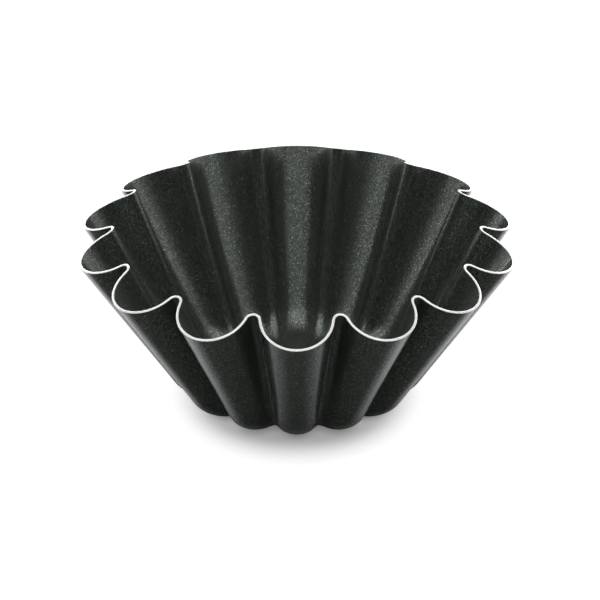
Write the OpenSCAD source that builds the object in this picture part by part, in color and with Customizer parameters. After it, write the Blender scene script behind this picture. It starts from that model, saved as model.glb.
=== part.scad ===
// Brioche mould: a flared tin with deep flutes, drawn in one piece from a disc of coated steel sheet.
// Millimetres. +Z is up, the origin is on the ground under the centre, and one flute faces -Y.

/* [Rim] */
// Outside diameter at the rim, over the crests of the flutes
rim_d = 180; // [150:1:220]
// How far each ridge stands in from the crests at the rim
rim_flute_depth = 14.5; // [8:0.5:17]
// Height of the rim at the crest of a flute
rim_h = 66; // [50:1:85]
// How much higher the rim is at a ridge than at a crest
rim_rise = 7; // [0:0.5:12]
// Length of the straight flank between a flute and its ridge, at the rim
rim_flank = 1; // [0.2:0.1:2]

/* [Base] */
// Outside diameter over the flutes where the wall would meet the ground without its corner radius
base_d = 93; // [84:1:110]
// How far each ridge stands in from the crests at the base
base_flute_depth = 4.5; // [2:0.5:6]
// Length of the straight flank between a flute and its ridge, at the base
base_flank = 1.5; // [0.2:0.1:2]
// Outside radius of the corner between the wall and the flat bottom
corner_r = 19; // [8:1:22]

/* [Flutes] */
// Number of flutes round the tin
flute_count = 14; // [12:1:16]
// Outside radius of the crease behind each ridge
crease_r = 2.4; // [1.6:0.1:3]

/* [Sheet and coatings] */
// Thickness of the bare steel sheet
sheet_t = 1; // [0.5:0.1:1.2]
// Thickness of the non-stick coating inside
nonstick_t = 0.04; // [0.02:0.01:0.1]
// Thickness of the baked coating outside
enamel_t = 0.04; // [0.02:0.01:0.1]

/* [Hidden] */
pitch = 360 / flute_count;
front = -90;
// Steps along half a flute and up the corner, and the part of a step over which a slope is taken
arc_steps = 4;
flank_steps = 1;
crease_steps = 2;
corner_steps = 4;
wall_steps = 1;
slope_step = 0.01;
half_steps = arc_steps + flank_steps + crease_steps;
flute_steps = 2 * half_steps;
round_steps = flute_count * flute_steps;
rise_steps = corner_steps + wall_steps;
rim_outline = outline(rim_d / 2, rim_flute_depth, rim_flank);
base_outline = outline(base_d / 2, base_flute_depth, base_flank);

function unit(v) = v / norm(v);
function blend(a, b, t) = a + (b - a) * t;
function on_arc(centre, r, angle) = centre + r * [cos(angle), sin(angle)];

// Half a flute seen from above, its crest on +X: an arc, a straight flank and half of the crease,
// each tangent to the next. The arc's radius follows from the length of the flank.
function outline(crest_r, depth, flank) =
    let (
        ridge_r = crest_r - depth,
        crease = (ridge_r + crease_r) * [cos(pitch / 2), sin(pitch / 2)],
        gap = crest_r - crease.x,
        flute_r = (gap * gap + crease.y * crease.y - crease_r * crease_r - flank * flank)
            / (2 * (gap + crease_r)),
        flute = [crest_r - flute_r, 0],
        reach = crease - flute,
        turn = atan2(reach.y, reach.x) - atan2(flank, flute_r + crease_r)
    )
    [crest_r, flute_r, turn, crease];

// The point of an outline at a number of steps from its crest
function half_flute(shape, steps) =
    let (
        crest_r = shape[0],
        flute_r = shape[1],
        turn = shape[2],
        crease = shape[3],
        flute = [crest_r - flute_r, 0],
        flank_start = on_arc(flute, flute_r, turn),
        flank_end = on_arc(crease, crease_r, turn + 180),
        crease_turn = pitch / 2 - turn
    )
    steps <= arc_steps ? on_arc(flute, flute_r, turn * steps / arc_steps)
    : steps <= arc_steps + flank_steps ? blend(flank_start, flank_end, (steps - arc_steps) / flank_steps)
    : on_arc(crease, crease_r,
        turn + 180 + crease_turn * (steps - arc_steps - flank_steps) / crease_steps);

// The point of the whole outline at a number of steps round the tin
function round_point(shape, steps) =
    let (
        flute = floor(steps / flute_steps),
        from_crest = steps - flute * flute_steps - half_steps,
        p = half_flute(shape, abs(from_crest)),
        y = from_crest < 0 ? -p.y : p.y,
        a = front + flute * pitch
    )
    [p.x * cos(a) - y * sin(a), p.x * sin(a) + y * cos(a)];

// The rim lies on a shallow cone, so that it is highest at the ridges
function rim_z(r) = rim_h + rim_rise * (rim_d / 2 - r) / rim_flute_depth;

// The outside face of the steel: straight lines up the wall, and a round corner under each of them
function face_point(round, rise) =
    let (
        rim = round_point(rim_outline, round),
        base = round_point(base_outline, round),
        top = [rim.x, rim.y, rim_z(norm(rim))],
        foot = [base.x, base.y, 0],
        up = unit(top - foot),
        inward = -unit(foot),
        corner = acos(up * inward),
        setback = corner_r / tan(corner / 2),
        centre = foot + unit(up + inward) * corner_r / sin(corner / 2),
        low = (foot + inward * setback - centre) / sin(corner),
        high = (foot + up * setback - centre) / sin(corner),
        t = rise / corner_steps,
        bend = 180 - corner
    )
    rise > corner_steps ? blend(foot + up * setback, top, (rise - corner_steps) / wall_steps)
    : centre + low * sin((1 - t) * bend) + high * sin(t * bend);

// The direction square to that face, into the tin
function face_normal(round, rise) =
    let (
        along = face_point(round + slope_step, rise) - face_point(round - slope_step, rise),
        upward = face_point(round, rise + slope_step) - face_point(round, rise - slope_step)
    )
    unit(cross(upward, along));

// Every point of the face with the way into the tin there, ring by ring from the bottom up
face = [
    for (rise = [0 : rise_steps], round = [0 : round_steps - 1])
        [face_point(round, rise), face_normal(round, rise)]
];

// The same face moved into the tin by a depth, and the middle of its flat bottom
function skin(depth) = concat(
    [for (p = face) p[0] + p[1] * depth + [0, 0, enamel_t]],
    [[0, 0, depth + enamel_t]]
);

// Triangles of a skin that starts at point number first, wound to be seen from outside the tin
function skin_faces(first) = concat(
    [
        for (rise = [0 : rise_steps - 1], round = [0 : round_steps - 1])
            let (
                next = (round + 1) % round_steps,
                a = first + rise * round_steps + round,
                b = first + rise * round_steps + next,
                c = a + round_steps,
                d = b + round_steps
            )
            each [[a, c, b], [b, c, d]]
    ],
    [
        for (round = [0 : round_steps - 1])
            let (next = (round + 1) % round_steps)
            [first + round, first + next, first + (rise_steps + 1) * round_steps]
    ]
);

function flipped(faces) = [for (f = faces) [f[2], f[1], f[0]]];

// A layer of the tin between two depths, closed at the rim by its cut edge
module layer(outer_depth, inner_depth) {
    outer = skin(outer_depth);
    inner = skin(inner_depth);
    rim_first = rise_steps * round_steps;
    edge = [
        for (round = [0 : round_steps - 1])
            let (
                next = (round + 1) % round_steps,
                a = rim_first + round,
                b = rim_first + next,
                c = a + len(outer),
                d = b + len(outer)
            )
            each [[a, c, b], [b, c, d]]
    ];
    polyhedron(
        points = concat(outer, inner),
        faces = concat(skin_faces(0), flipped(skin_faces(len(outer))), edge)
    );
}

// The pressed steel sheet, bare only at its cut rim
module steel_shell() {
    color("gainsboro") layer(0, sheet_t);
}

// The non-stick coating inside, flecked dark grey
module nonstick_lining() {
    color([0.22, 0.24, 0.22]) layer(sheet_t, sheet_t + nonstick_t);
}

// The baked coating outside, smooth dark grey
module outer_coating() {
    color([0.17, 0.18, 0.17]) layer(-enamel_t, 0);
}

steel_shell();
nonstick_lining();
outer_coating();
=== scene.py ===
import math

import bpy
import numpy as np
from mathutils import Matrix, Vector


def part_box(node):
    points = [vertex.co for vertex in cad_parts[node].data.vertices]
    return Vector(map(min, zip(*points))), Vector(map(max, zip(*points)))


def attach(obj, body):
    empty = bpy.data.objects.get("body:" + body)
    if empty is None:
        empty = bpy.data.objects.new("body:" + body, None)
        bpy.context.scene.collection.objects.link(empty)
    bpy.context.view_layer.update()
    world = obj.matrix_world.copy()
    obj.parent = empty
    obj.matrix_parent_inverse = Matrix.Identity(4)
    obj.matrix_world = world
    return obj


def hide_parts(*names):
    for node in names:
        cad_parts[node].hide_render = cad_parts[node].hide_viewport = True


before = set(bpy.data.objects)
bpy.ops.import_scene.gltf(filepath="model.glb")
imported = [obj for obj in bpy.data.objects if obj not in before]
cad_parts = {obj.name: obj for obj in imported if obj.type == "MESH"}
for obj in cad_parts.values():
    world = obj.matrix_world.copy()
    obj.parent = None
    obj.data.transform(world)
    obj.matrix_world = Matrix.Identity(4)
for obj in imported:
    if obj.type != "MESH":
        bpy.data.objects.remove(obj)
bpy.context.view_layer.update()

# The tin's own sizes, in metres. The rim's radius comes from the steel shell's box in model.glb.
SHELL_LOW, SHELL_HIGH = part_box("steel_shell")
FLUTES = 14
RIM_R = (SHELL_HIGH[1] - SHELL_LOW[1]) / 2
RIM_FLUTE_DEPTH = 0.0145
RIM_H = 0.066
RIM_RISE = 0.007
RIM_FLANK = 0.001
BASE_R = 0.0465
BASE_FLUTE_DEPTH = 0.0045
BASE_FLANK = 0.0015
CORNER_R = 0.019
CREASE_R = 0.0024
SHEET = 0.001
COAT = 0.00004

# How far the cut edge is rounded above the coatings
EDGE_CROWN = 0.00025
# Size of the marks along the cut edge
CUT_MARK_SIZE = 0.0004

# Sizes of the coatings' fine and coarse metallic flecks, of their mottling and of their grain
FLECK_SIZE = 0.0002
COARSE_SIZE = 2 * FLECK_SIZE
MOTTLE_SIZE = 8 * FLECK_SIZE
GRAIN_SIZE = 1.5 * FLECK_SIZE
# How deep the grain is, and how far it tilts the surface between flecks
GRAIN_DEPTH = 0.00004
GRAIN_TILT = 0.04
# Share of the coarse cells that hold a coarse fleck
COARSE_SHARE = 0.007
# How much of a fleck shows before it has its full tilt and smoothness
FLECK_FULL = 0.3
# Green cast of the coatings' gloss
GLOSS_TINT = (0.85, 1, 0.9, 1)
# The gloss at grazing angles, and the heights between which it comes in above the bottom corner,
# where it is left out as painted shade in the corner's reflection
EDGE_GLOSS_ROUGHNESS = 0.2
EDGE_GLOSS_IOR = 1.7
PAINTED_SHADE_FOOT = (0.001, 0.016)

# Steps of the fine mesh: along half a flute, and from the middle of the bottom up to the rim
ARC_STEPS = 10
FLANK_STEPS = 1
CREASE_STEPS = 5
FLOOR_STEPS = 6
CORNER_STEPS = 10
WALL_STEPS = 14
EDGE_STEPS = 6
HALF_STEPS = ARC_STEPS + FLANK_STEPS + CREASE_STEPS
ROUND_STEPS = 2 * HALF_STEPS * FLUTES
# The part of a step over which a slope is taken
SLOPE_STEP = 0.01
SHARP_ANGLE = math.radians(45)
FRONT = -math.pi / 2
PITCH = 2 * math.pi / FLUTES

# The camera, fitted to the rim in the photograph
CAMERA_ELEVATION = math.radians(28.54)
CAMERA_DISTANCE = 1.6426
CAMERA_AIM = (0.0013, 0.0, 0.0398)
CAMERA_LENS = 239.7
CAMERA_SENSOR = 36
CAMERA_REACH = 20

# The table, and how far it lies below the tin so that their faces don't coincide
TABLE_HALF = 4.0
TABLE_DROP = 0.00005
# How white the table is, and how white it looks to glossy surfaces
TABLE_WHITE = 0.8
TABLE_LIT_IN_GLOSS = 1.0
# How white it looks to the camera near the tin and further out, before the glow is added
TABLE_LIT = 1.6
FAR_LIT = 0.05
# The glow that fills in the shadow right under the tin, and the distances over which that fades
SHADOW_FILL = 0.2
FILL_REACH = (0.04, 0.049)
# The distances over which the shadow fades into white, in a place stretched sideways and shifted
SHADOW_EDGE = (0.042, 0.067)
SHADOW_STRETCH = (1.2, 1, 1)
SHADOW_SHIFT = (0, 0.005, 0)

# Brightness of the studio round the tin, where 1 is white
ROOM_LEVEL = 0.05
BACKDROP_LEVEL = 1.15
SIDE_LIGHT_LEVEL = 0.4
BACK_LIGHT_LEVEL = 3.2
CEILING_LEVEL = 1.1
OVERHEAD_LEVEL = 1.9
# Square to the planes through the tin and the ceiling light's front and back edges
CEILING_FRONT = (0, 0.45, 1)
CEILING_BACK = (0, -2.3, 1)
# Where each part of the studio fades, as heights above those planes or lengths along an axis
CEILING_FRONT_FADE = (0.12, 0.3)
CEILING_BACK_FADE = (-0.1, 0.7)
OVERHEAD_FADE = (0.69, 0.84)
BACKDROP_FADE = (-0.45, 0.2)
BACKDROP_TOP_FADE = (0.3, 0.7)
SIDE_LIGHT_FADE = (0.8, 0.95)
SIDE_LIGHT_FOOT_FADE = (0.2, 0.4)
BACK_LIGHT_FADE = (0.45, 0.75)
BACK_LIGHT_TOP_FADE = (0.5, 0.65)


def unit(vectors):
    return vectors / np.linalg.norm(vectors, axis=-1, keepdims=True)


def dot(a, b):
    return (a * b).sum(-1, keepdims=True)


def on_arc(centre, radius, angle):
    return np.stack([centre[0] + radius * np.cos(angle), centre[1] + radius * np.sin(angle)], -1)


def outline(crest_r, depth, flank):
    """Half a flute seen from above: the radii of its crest and its arc, the angle that the arc
    turns through, and the centre of the crease."""
    ridge_r = crest_r - depth
    crease = (ridge_r + CREASE_R) * np.array([math.cos(PITCH / 2), math.sin(PITCH / 2)])
    gap = crest_r - crease[0]
    arc_r = (gap**2 + crease[1] ** 2 - CREASE_R**2 - flank**2) / (2 * (gap + CREASE_R))
    reach = crease - np.array([crest_r - arc_r, 0])
    turn = math.atan2(reach[1], reach[0]) - math.atan2(flank, arc_r + CREASE_R)
    return crest_r, arc_r, turn, crease


RIM_OUTLINE = outline(RIM_R, RIM_FLUTE_DEPTH, RIM_FLANK)
BASE_OUTLINE = outline(BASE_R, BASE_FLUTE_DEPTH, BASE_FLANK)


def half_flute(shape, steps):
    """Points of half a flute, a number of steps from its crest: arc, straight flank, crease."""
    crest_r, arc_r, turn, crease = shape
    arc_centre = (crest_r - arc_r, 0.0)
    on_flute = on_arc(arc_centre, arc_r, turn * steps / ARC_STEPS)
    start = on_arc(arc_centre, arc_r, np.array(turn))
    end = on_arc(crease, CREASE_R, np.array(turn + math.pi))
    past_arc = steps - ARC_STEPS
    on_flank = start + (end - start) * (past_arc / FLANK_STEPS)[..., None]
    crease_angle = turn + math.pi + (PITCH / 2 - turn) * (past_arc - FLANK_STEPS) / CREASE_STEPS
    on_crease = on_arc(crease, CREASE_R, crease_angle)
    points = np.where((steps <= ARC_STEPS)[..., None], on_flute, on_flank)
    return np.where((steps > ARC_STEPS + FLANK_STEPS)[..., None], on_crease, points)


def round_points(shape, steps):
    """Points of the whole outline, a number of steps round the tin."""
    flute = np.floor(steps / (2 * HALF_STEPS))
    from_crest = steps - flute * 2 * HALF_STEPS - HALF_STEPS
    half = half_flute(shape, np.abs(from_crest))
    x, y = half[..., 0], np.copysign(half[..., 1], from_crest)
    angle = FRONT + flute * PITCH
    cos, sin = np.cos(angle), np.sin(angle)
    return np.stack([x * cos - y * sin, x * sin + y * cos], -1)


def face_points(steps, rise):
    """The steel's outside face. rise is 0 to 1 round the bottom corner, and 1 to 2 up the wall."""
    rim = round_points(RIM_OUTLINE, steps)
    base = round_points(BASE_OUTLINE, steps)
    inset = RIM_R - np.linalg.norm(rim, axis=-1, keepdims=True)
    top = np.concatenate([rim, RIM_H + RIM_RISE * inset / RIM_FLUTE_DEPTH], -1)
    foot = np.concatenate([base, np.zeros_like(inset)], -1)
    up, inward = unit(top - foot), -unit(foot)
    corner = np.arccos(dot(up, inward))
    setback = CORNER_R / np.tan(corner / 2)
    centre = foot + unit(up + inward) * CORNER_R / np.sin(corner / 2)
    low = (foot + inward * setback - centre) / np.sin(corner)
    high = (foot + up * setback - centre) / np.sin(corner)
    bend = math.pi - corner
    rise = np.broadcast_to(rise, steps.shape)[..., None]
    on_corner = centre + low * np.sin((1 - rise) * bend) + high * np.sin(rise * bend)
    wall_start = foot + up * setback
    on_wall = wall_start + (top - wall_start) * (rise - 1)
    return np.where(rise > 1, on_wall, on_corner)


def rise_slope(steps, rise):
    return face_points(steps, rise + SLOPE_STEP) - face_points(steps, rise - SLOPE_STEP)


def face_normals(steps, rise):
    """The direction square to the face, into the tin."""
    along = face_points(steps + SLOPE_STEP, rise) - face_points(steps - SLOPE_STEP, rise)
    return unit(np.cross(rise_slope(steps, rise), along))


def skin(depth):
    """Rings of the face moved into the tin by a depth, from the first ring round the middle up."""
    steps = np.arange(ROUND_STEPS, dtype=float)
    wall_length = np.linalg.norm(face_points(steps, 2.0) - face_points(steps, 1.0), axis=-1)
    rim_rise = 2 - EDGE_CROWN / wall_length
    lift = np.array([0, 0, COAT])
    bottom_edge = face_points(steps, 0.0)
    rings = []
    for i in range(1, FLOOR_STEPS):
        rings.append(bottom_edge * (i / FLOOR_STEPS) + np.array([0, 0, depth]) + lift)
    corner = [i / CORNER_STEPS for i in range(CORNER_STEPS)]
    wall = [1 + (rim_rise - 1) * i / WALL_STEPS for i in range(WALL_STEPS + 1)]
    for rise in corner + wall:
        rings.append(face_points(steps, rise) + face_normals(steps, rise) * depth + lift)
    return np.array(rings)


def ring_faces(rings, first, inside_out):
    """Quads between rings of a skin, and triangles round the point that follows its last ring."""
    faces = []
    middle = first + rings * ROUND_STEPS
    for here in range(ROUND_STEPS):
        after = (here + 1) % ROUND_STEPS
        faces.append((first + here, middle, first + after))
        for ring in range(rings - 1):
            a = first + ring * ROUND_STEPS
            faces.append((a + here, a + after, a + after + ROUND_STEPS, a + here + ROUND_STEPS))
    if inside_out:
        return [face[::-1] for face in faces]
    return faces


def new_piece(name, points, faces, material, node):
    mesh = bpy.data.meshes.new(name)
    mesh.from_pydata([tuple(map(float, p)) for p in points], [], faces)
    mesh.validate()
    mesh.polygons.foreach_set("use_smooth", [True] * len(mesh.polygons))
    mesh.set_sharp_from_angle(angle=SHARP_ANGLE)
    mesh.materials.append(material)
    piece = bpy.data.objects.new(name, mesh)
    bpy.context.scene.collection.objects.link(piece)
    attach(piece, "root")
    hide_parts(node)


def layer(outer_depth, inner_depth, crown):
    """Points and faces of a closed layer between two depths, its edge at the rim raised in a
    rounded crown."""
    outer, inner = skin(outer_depth), skin(inner_depth)
    rings = len(outer)
    middles = [np.array([[0, 0, depth + COAT]]) for depth in (outer_depth, inner_depth)]
    steps = np.arange(ROUND_STEPS, dtype=float)
    upward = unit(rise_slope(steps, 2.0))
    edge = []
    edge_steps = EDGE_STEPS if crown else 1
    for i in range(1, edge_steps):
        angle = math.pi * i / edge_steps
        across = outer[-1] + (inner[-1] - outer[-1]) * (1 - math.cos(angle)) / 2
        edge.append(across + upward * crown * math.sin(angle))
    skin_size = rings * ROUND_STEPS + 1
    skins = [outer.reshape(-1, 3), middles[0], inner.reshape(-1, 3), middles[1]]
    points = np.concatenate(skins + edge)
    faces = ring_faces(rings, 0, False) + ring_faces(rings, skin_size, True)
    starts = [(rings - 1) * ROUND_STEPS]
    starts += [2 * skin_size + i * ROUND_STEPS for i in range(edge_steps - 1)]
    starts.append(skin_size + (rings - 1) * ROUND_STEPS)
    for a, b in zip(starts, starts[1:]):
        for here in range(ROUND_STEPS):
            after = (here + 1) % ROUND_STEPS
            faces.append((a + here, a + after, b + after, b + here))
    return points, faces


def node_maker(owner):
    tree = owner.node_tree

    def add(kind, inputs=None, **settings):
        node = tree.nodes.new(kind)
        for key, value in settings.items():
            setattr(node, key, value)
        for key, value in (inputs or {}).items():
            if isinstance(value, bpy.types.NodeSocket):
                tree.links.new(value, node.inputs[key])
            else:
                node.inputs[key].default_value = value
        return node

    return add


def new_material(name):
    material = bpy.data.materials.new(name)
    material.use_nodes = True
    material.node_tree.nodes.clear()
    return material, node_maker(material)


def mapped(add, value, low, high, to_low, to_high, blend="LINEAR"):
    node = add("ShaderNodeMapRange", {
        "Value": value, "From Min": low, "From Max": high, "To Min": to_low, "To Max": to_high,
    }, interpolation_type=blend)
    return node.outputs["Result"]


def faded(add, value, ends, to_low=0, to_high=1):
    """A smooth change from one level to another between two ends."""
    return mapped(add, value, *ends, to_low, to_high, "SMOOTHSTEP")


def mixed(add, factor, a, b):
    node = add("ShaderNodeMix", data_type="RGBA")
    sockets = [socket for socket in node.inputs if socket.enabled]
    for socket, value in zip(sockets, (factor, a, b)):
        if isinstance(value, bpy.types.NodeSocket):
            node.id_data.links.new(value, socket)
        else:
            socket.default_value = value
    return [socket for socket in node.outputs if socket.enabled][0]


def vector_math(add, operation, *inputs):
    node = add("ShaderNodeVectorMath", dict(enumerate(inputs)), operation=operation)
    return node.outputs["Value" if operation in ("LENGTH", "DOT_PRODUCT") else "Vector"]


def cell_colours(add, place, size):
    """Cells of a size with colours of their own, and the red part of each colour."""
    cells = add("ShaderNodeTexVoronoi", {"Vector": place, "Scale": 1 / size}, feature="F1")
    parts = add("ShaderNodeSeparateColor", {"Color": cells.outputs["Color"]})
    return cells.outputs["Color"], parts.outputs["Red"]


def coat_material(name, dark, light, gloss, roughness, fleck_share, fleck_colour, fleck_roughness,
                  fleck_tilt, edge_gloss=None):
    """A satin baked coating: a mottled dark colour under a soft gloss, with many fine metallic
    flecks and a few coarse ones, smoother than the rest, that each face their own way. Edge gloss
    is the range of facing over which it turns shiny, left out at the bottom corner as painted
    shade."""
    material, add = new_material(name)
    place = add("ShaderNodeTexCoord").outputs["Object"]
    mottle = add("ShaderNodeTexNoise", {
        "Vector": place, "Scale": 1 / MOTTLE_SIZE, "Detail": 5.0, "Roughness": 0.7})
    colour = mixed(add, mapped(add, mottle.outputs["Fac"], 0.3, 0.7, 0, 1), dark, light)

    turns, chance = cell_colours(add, place, FLECK_SIZE)
    fine = mapped(add, chance, 1 - fleck_share, 1, 0, 1)
    _, coarse_chance = cell_colours(add, place, COARSE_SIZE)
    coarse = mapped(add, coarse_chance, 1 - COARSE_SHARE, 1 - COARSE_SHARE / 2, 0, 1)
    fleck = add("ShaderNodeMath", {0: fine, 1: coarse}, operation="MAXIMUM").outputs[0]
    colour = mixed(add, fleck, colour, fleck_colour)

    grain = add("ShaderNodeTexNoise", {"Vector": place, "Scale": 1 / GRAIN_SIZE, "Detail": 2.0})
    bumped = add("ShaderNodeBump", {
        "Height": grain.outputs["Fac"], "Strength": 0.3, "Distance": GRAIN_DEPTH})
    tilt = add("ShaderNodeVectorMath", {
        0: vector_math(add, "SUBTRACT", turns, (0.5, 0.5, 0.5)),
        "Scale": mapped(add, fleck, 0, FLECK_FULL, GRAIN_TILT, fleck_tilt)}, operation="SCALE")
    normal = vector_math(add, "ADD", bumped.outputs["Normal"], tilt.outputs["Vector"])
    normal = vector_math(add, "NORMALIZE", normal)

    shader = add("ShaderNodeBsdfPrincipled", {
        "Base Color": colour,
        "Metallic": mapped(add, fleck, 0, 1, 0, 0.9),
        "Roughness": mapped(add, fleck, 0, FLECK_FULL, roughness, fleck_roughness),
        "Specular IOR Level": gloss,
        "Specular Tint": GLOSS_TINT,
        "Normal": normal})
    if edge_gloss:
        facing = add("ShaderNodeLayerWeight", {"Blend": 0.5}).outputs["Facing"]
        # Low on the bottom corner the gloss is left out, painting shade into the reflection there
        height = add("ShaderNodeSeparateXYZ", {"Vector": place}).outputs["Z"]
        weight = mapped(add, facing, *edge_gloss, 0, faded(add, height, PAINTED_SHADE_FOOT))
        material.node_tree.links.new(weight, shader.inputs["Coat Weight"])
        shader.inputs["Coat Roughness"].default_value = EDGE_GLOSS_ROUGHNESS
        shader.inputs["Coat IOR"].default_value = EDGE_GLOSS_IOR
    add("ShaderNodeOutputMaterial", {"Surface": shader.outputs[0]})
    return material


def steel_material():
    """Bare sheet steel where the rim was cut: bright, with fine marks along the cut."""
    material, add = new_material("cut_steel")
    place = add("ShaderNodeTexCoord").outputs["Object"]
    noise = add("ShaderNodeTexNoise", {
        "Vector": place, "Scale": 1 / CUT_MARK_SIZE, "Detail": 3.0})
    marks = noise.outputs["Fac"]
    bumped = add("ShaderNodeBump", {"Height": marks, "Strength": 0.2, "Distance": 0.0001})
    shader = add("ShaderNodeBsdfPrincipled", {
        "Base Color": mixed(add, marks, (0.78, 0.78, 0.77, 1), (1, 1, 1, 1)),
        "Metallic": 0.5,
        "Roughness": mapped(add, marks, 0.3, 0.7, 0.35, 0.55),
        "Normal": bumped.outputs["Normal"]})
    add("ShaderNodeOutputMaterial", {"Surface": shader.outputs[0]})
    return material


def floor_material():
    """A white table, which glossy surfaces see lit up to white. The camera sees the shadow filled
    in a little where the tin's rounded corner overhangs it, and fading into white further out."""
    material, add = new_material("white_table")
    path = add("ShaderNodeLightPath")
    seen = path.outputs["Is Camera Ray"]
    place = add("ShaderNodeTexCoord").outputs["Object"]
    from_middle = vector_math(add, "LENGTH", place)
    stretched = vector_math(add, "MULTIPLY_ADD", place, SHADOW_STRETCH, SHADOW_SHIFT)
    from_shadow = vector_math(add, "LENGTH", stretched)

    unseen_white = mapped(add, path.outputs["Is Glossy Ray"], 0, 1, TABLE_WHITE,
                          TABLE_LIT_IN_GLOSS)
    seen_white = faded(add, from_shadow, SHADOW_EDGE, TABLE_LIT, FAR_LIT)
    white = mapped(add, seen, 0, 1, unseen_white, seen_white)
    table = add("ShaderNodeBsdfDiffuse", {"Color": white})

    fill = faded(add, from_middle, FILL_REACH, SHADOW_FILL, 0)
    glow = mapped(add, seen, 0, 1, 0, faded(add, from_shadow, SHADOW_EDGE, fill, 1))
    glowing = add("ShaderNodeEmission", {"Color": (1, 1, 1, 1), "Strength": glow})
    both = add("ShaderNodeAddShader", {0: table.outputs[0], 1: glowing.outputs[0]})
    add("ShaderNodeOutputMaterial", {"Surface": both.outputs[0]})
    return material


def make_floor():
    corners = [(-1, -1), (1, -1), (1, 1), (-1, 1)]
    points = [(x * TABLE_HALF, y * TABLE_HALF, -TABLE_DROP) for x, y in corners]
    mesh = bpy.data.meshes.new("table_top")
    mesh.from_pydata(points, [], [(0, 1, 2, 3)])
    mesh.materials.append(floor_material())
    floor = bpy.data.objects.new("table_top", mesh)
    bpy.context.scene.collection.objects.link(floor)


def make_lights():
    """A studio, all in the world: a wide soft ceiling light that ends in front of the tin and is
    strongest overhead, a white backdrop behind and beside the tin, a weak light on each side, a
    strong low one at the back, and a dim room towards the camera. The camera sees plain white."""
    world = bpy.data.worlds.new("studio")
    world.use_nodes = True
    world.node_tree.nodes.clear()
    add = node_maker(world)
    way = add("ShaderNodeTexCoord").outputs["Generated"]
    axes = add("ShaderNodeSeparateXYZ", {"Vector": way})
    x, y, z = (axes.outputs[axis] for axis in "XYZ")
    sideways = add("ShaderNodeMath", {0: x}, operation="ABSOLUTE").outputs[0]

    def height_above(edge):
        """How far a direction is above the plane through the tin and an edge of the ceiling."""
        return vector_math(add, "DOT_PRODUCT", way, tuple(unit(np.array(edge))))

    def product_and(a, b, level):
        """The product of two values, added to a level."""
        return add("ShaderNodeMath", {0: a, 1: b, 2: level}, operation="MULTIPLY_ADD").outputs[0]

    overhead = faded(add, z, OVERHEAD_FADE, CEILING_LEVEL, OVERHEAD_LEVEL)
    front = faded(add, height_above(CEILING_FRONT), CEILING_FRONT_FADE, 0, overhead)
    ceiling = faded(add, height_above(CEILING_BACK), CEILING_BACK_FADE)
    behind = faded(add, y, BACKDROP_FADE, ROOM_LEVEL, BACKDROP_LEVEL)
    low = faded(add, z, BACKDROP_TOP_FADE, 1, 0)
    level = product_and(front, ceiling, mapped(add, low, 0, 1, ROOM_LEVEL, behind))
    side = faded(add, sideways, SIDE_LIGHT_FADE, 0, SIDE_LIGHT_LEVEL)
    level = product_and(side, faded(add, z, SIDE_LIGHT_FOOT_FADE), level)
    back = faded(add, y, BACK_LIGHT_FADE, 0, BACK_LIGHT_LEVEL)
    level = product_and(back, faded(add, z, BACK_LIGHT_TOP_FADE, 1, 0), level)

    seen = add("ShaderNodeLightPath").outputs["Is Camera Ray"]
    shown = mapped(add, seen, 0, 1, level, 1)
    background = add("ShaderNodeBackground", {"Color": (1, 1, 1, 1), "Strength": shown})
    add("ShaderNodeOutputWorld", {"Surface": background.outputs[0]})
    bpy.context.scene.world = world


def make_camera():
    camera = bpy.data.cameras.new("camera")
    camera.lens = CAMERA_LENS
    camera.sensor_width = CAMERA_SENSOR
    camera.clip_end = CAMERA_REACH
    holder = bpy.data.objects.new("camera", camera)
    back = np.array([0, -math.cos(CAMERA_ELEVATION), math.sin(CAMERA_ELEVATION)])
    holder.location = np.array(CAMERA_AIM) + back * CAMERA_DISTANCE
    holder.rotation_euler = (math.pi / 2 - CAMERA_ELEVATION, 0, 0)
    bpy.context.scene.collection.objects.link(holder)
    bpy.context.scene.camera = holder


def make_tin():
    lining = coat_material(
        "lining_finish", dark=(0.0096, 0.0096, 0.0078, 1), light=(0.015, 0.015, 0.0124, 1),
        gloss=0.7, roughness=0.28, fleck_share=0.3, fleck_colour=(0.3, 0.325, 0.305, 1),
        fleck_roughness=0.15, fleck_tilt=0.1)
    outside = coat_material(
        "outside_finish", dark=(0.0109, 0.0128, 0.011, 1), light=(0.0188, 0.022, 0.019, 1),
        gloss=0.03, roughness=0.4, fleck_share=0.2, fleck_colour=(0.115, 0.125, 0.115, 1),
        fleck_roughness=0.25, fleck_tilt=0.1, edge_gloss=(0.56, 0.72))
    pieces = [
        ("pressed_steel_shell", layer(0, SHEET, EDGE_CROWN),
         steel_material(), "bare_steel", "steel_shell"),
        ("flecked_nonstick_lining", layer(SHEET, SHEET + COAT, 0),
         lining, "nonstick_coat", "nonstick_lining"),
        ("satin_outer_coating", layer(-COAT, 0, 0),
         outside, "outer_coat", "outer_coating"),
    ]
    for name, (points, faces), material, slot, node in pieces:
        new_piece(name, points, faces, material, node)


make_camera()
make_lights()
make_floor()
make_tin()
bpy.context.scene.view_settings.view_transform = "Standard"
